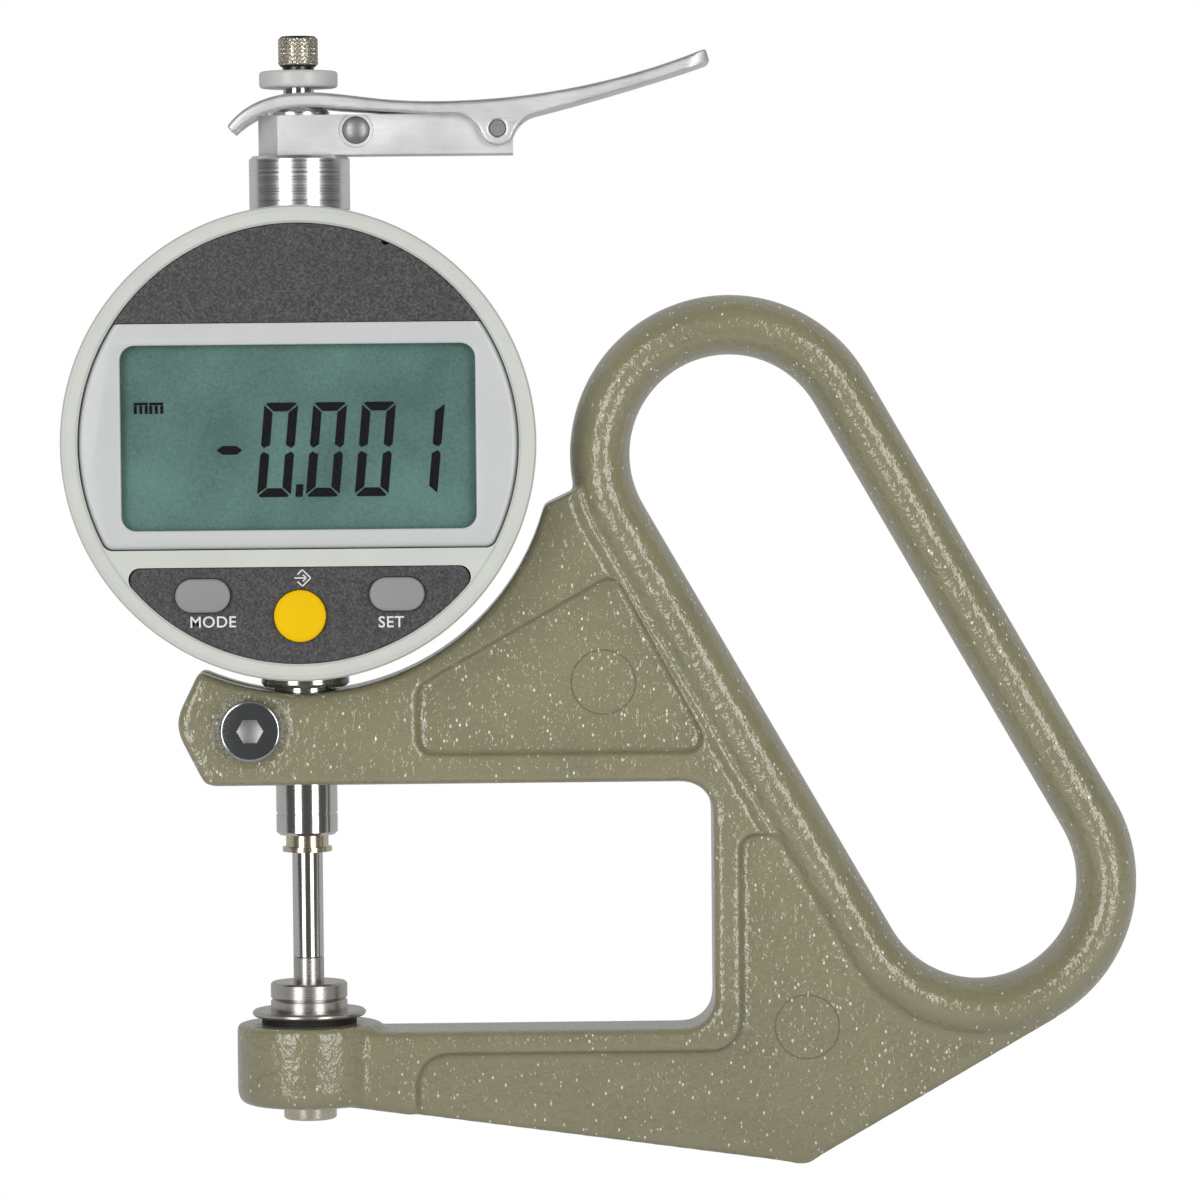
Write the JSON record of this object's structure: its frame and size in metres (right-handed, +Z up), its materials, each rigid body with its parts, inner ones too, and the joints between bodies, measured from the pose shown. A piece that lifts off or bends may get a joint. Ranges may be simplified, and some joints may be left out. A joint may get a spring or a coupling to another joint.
{
  "type": "digital thickness gauge",
  "caption": "Hand-held digital thickness gauge: cast C-frame with loop handle, round turning display, lifting lever and flat round anvils.",
  "frame": {"origin": "centre of the lower anvil's measuring face, where the two anvils meet at rest", "axes": "+Z up along the spindle, +X from the anvils into the throat, -Y towards the user, the way the display faces"},
  "size_m": [0.1388, 0.0253, 0.1473],
  "materials": {
    "cast_paint": "hammered enamel",
    "zinc": "zinc plated",
    "ground_steel": "ground",
    "black_seal": "matte",
    "bronze": "bright",
    "chrome": "bright",
    "case_plastic": "moulded, fine texture",
    "surround_plastic": "satin",
    "dark_plate": "fine grained foil",
    "satin_alloy": "satin",
    "collar_plastic": "natural",
    "nickel_knurl": "nickel plated",
    "spring_steel": "drawn wire",
    "circuit_board": "solder mask",
    "black_plastic": "moulded",
    "clear": "polished",
    "lcd": "reflective display",
    "grey_rubber": "matte",
    "grey_key": "satin",
    "yellow_key": "satin"
  },
  "bodies": {
    "frame": {"frame": "cast_paint", "clamp_screw": "zinc", "anvil_screw": "zinc", "back_cover_screws": "zinc", "head_retaining_ring": "zinc", "rotation_stop_pin": "zinc", "lower_anvil": "ground_steel", "stem": "ground_steel", "anvil_flange": "ground_steel", "lever_pivot_pin": "ground_steel", "bracket_cross_screw": "ground_steel", "anvil_seat_ring": "black_seal", "lower_bush": "bronze", "upper_bush": "bronze", "stem_shoulder": "chrome", "top_sleeve": "chrome", "bracket_nut": "chrome", "rear_case": "case_plastic", "back_cover": "case_plastic", "lifter_bracket": "satin_alloy", "guide_rail": "satin_alloy", "sensor_board": "circuit_board", "read_head": "black_plastic"},
    "spindle": {"spindle": "ground_steel", "upper_anvil": "ground_steel", "lift_collar": "collar_plastic", "knurled_cap": "nickel_knurl", "scale_carrier": "satin_alloy", "glass_scale": "clear", "guide_pin": "ground_steel", "return_spring": "spring_steel"},
    "lever": {"lifting_lever": "satin_alloy"},
    "display_head": {"head_bezel": "case_plastic", "head_back_plate": "case_plastic", "main_board": "circuit_board", "coin_cell": "nickel_knurl", "cell_holder": "black_plastic", "cell_contacts": "nickel_knurl", "display_window": "clear", "lcd_panel": "lcd", "display_contact_strips": "grey_rubber", "display_surround": "surround_plastic", "key_plate": "dark_plate", "switch_mat": "grey_rubber"},
    "mode_key": {"mode_key": "grey_key"},
    "set_key": {"set_key": "grey_key"},
    "data_key": {"data_key": "yellow_key"},
    "battery_cover": {"battery_cover": "dark_plate"}
  },
  "joints": [
    {"name": "spindle_lift", "type": "slide", "parent": "frame", "child": "spindle", "axis": [0, 0, 1], "range_m": [0, 0.012], "stiffness_N_per_m": 40, "springref_m": -0.015, "deforming": ["return_spring"]},
    {"name": "lever_pivot", "type": "hinge", "parent": "frame", "child": "lever", "pos_m": [0.0258, 0, 0.113], "axis": [0, 1, 0], "range_deg": [0, 27]},
    {"name": "head_turn", "type": "hinge", "parent": "frame", "child": "display_head", "pos_m": [0, -0.0115, 0.0727], "axis": [0, 1, 0], "range_deg": [-135, 135]},
    {"name": "mode_key_press", "type": "slide", "parent": "display_head", "child": "mode_key", "axis": [0, 1, 0], "range_m": [0, 0.0008], "stiffness_N_per_m": 1200, "springref_m": -0.0004},
    {"name": "set_key_press", "type": "slide", "parent": "display_head", "child": "set_key", "axis": [0, 1, 0], "range_m": [0, 0.0008], "stiffness_N_per_m": 1200, "springref_m": -0.0004},
    {"name": "data_key_press", "type": "slide", "parent": "display_head", "child": "data_key", "axis": [0, 1, 0], "range_m": [0, 0.0008], "stiffness_N_per_m": 1200, "springref_m": -0.0004},
    {"name": "battery_cover_pull", "type": "slide", "parent": "display_head", "child": "battery_cover", "axis": [0, -1, 0], "range_m": [0, 0.004]}
  ],
  "couplings": [
    {"joint": "lever_pivot", "follows": "spindle_lift", "rad_per_m": 38.7}
  ]
}
